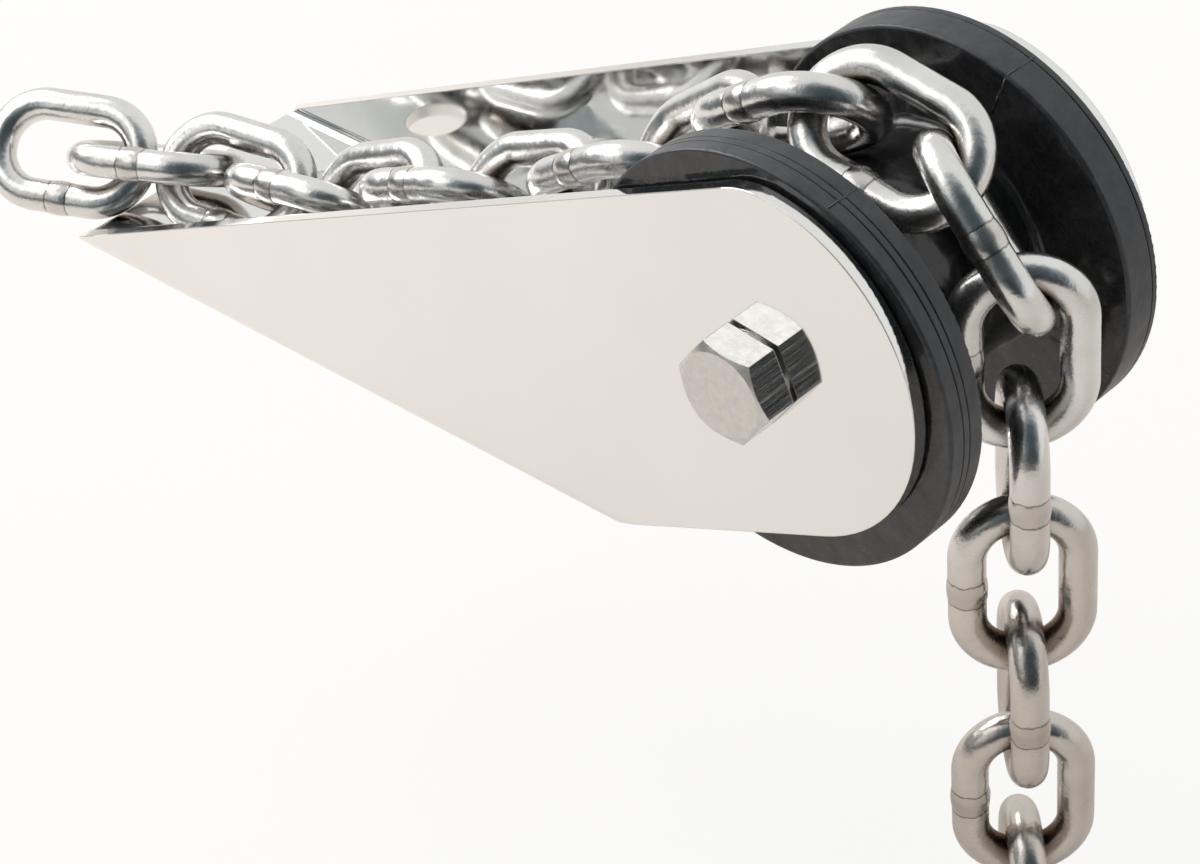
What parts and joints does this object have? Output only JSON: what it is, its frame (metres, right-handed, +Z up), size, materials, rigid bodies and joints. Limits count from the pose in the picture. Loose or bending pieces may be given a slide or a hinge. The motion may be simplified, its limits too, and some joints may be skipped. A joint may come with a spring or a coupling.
{
  "type": "chain fairlead",
  "caption": "Folded stainless channel with a grooved roller in its raised nose, leading a link chain over the roller's groove.",
  "frame": {"origin": "middle of the underside of the channel's flat base, on the deck", "axes": "+X forward to the nose and roller, +Y along the roller's axle to the nut side, +Z up"},
  "size_m": [0.3636, 0.1218, 0.261],
  "materials": {
    "polished_stainless": "mirror polished",
    "black_polymer": "moulded, semi-gloss",
    "bush_polymer": "machined",
    "plain_stainless": "turned",
    "bolt_steel": "satin",
    "insert_nylon": "moulded",
    "chain_steel": "polished, worn"
  },
  "bodies": {
    "frame": {"channel": "polished_stainless", "axle_sleeve": "plain_stainless", "axle_bolt": "bolt_steel", "nut_washer": "bolt_steel", "lock_nut": "bolt_steel", "nut_insert": "insert_nylon", "thrust_washer_near": "bush_polymer", "thrust_washer_far": "bush_polymer", "link_01": "chain_steel", "link_02": "chain_steel", "link_03": "chain_steel", "link_04": "chain_steel", "link_05": "chain_steel", "link_06": "chain_steel", "link_07": "chain_steel", "link_08": "chain_steel", "link_09": "chain_steel", "link_10": "chain_steel", "link_11": "chain_steel", "link_12": "chain_steel", "link_13": "chain_steel"},
    "roller": {"roller": "black_polymer", "bush_near": "bush_polymer", "bush_far": "bush_polymer"},
    "link_14": {"link_14": "chain_steel"},
    "link_15": {"link_15": "chain_steel"},
    "link_16": {"link_16": "chain_steel"},
    "link_17": {"link_17": "chain_steel"},
    "link_18": {"link_18": "chain_steel"}
  },
  "joints": [
    {"name": "roller_spin", "type": "hinge", "parent": "frame", "child": "roller", "pos_m": [0.158, 0, 0.0725], "axis": [0, 1, 0], "continuous": true},
    {"name": "link_14_swing", "type": "hinge", "parent": "frame", "child": "link_14", "pos_m": [0.20275, 0, 0.05025], "axis": [0.7071, 0.7071, 0], "range_deg": [-12, 12]},
    {"name": "link_15_swing", "type": "hinge", "parent": "link_14", "child": "link_15", "pos_m": [0.20275, 0, 0.01545], "axis": [0.7071, -0.7071, 0], "range_deg": [-12, 12]},
    {"name": "link_16_swing", "type": "hinge", "parent": "link_15", "child": "link_16", "pos_m": [0.20275, 0, -0.01935], "axis": [0.7071, 0.7071, 0], "range_deg": [-12, 12]},
    {"name": "link_17_swing", "type": "hinge", "parent": "link_16", "child": "link_17", "pos_m": [0.20275, 0, -0.05415], "axis": [0.7071, -0.7071, 0], "range_deg": [-12, 12]},
    {"name": "link_18_swing", "type": "hinge", "parent": "link_17", "child": "link_18", "pos_m": [0.20275, 0, -0.08895], "axis": [0.7071, 0.7071, 0], "range_deg": [-12, 12]}
  ]
}
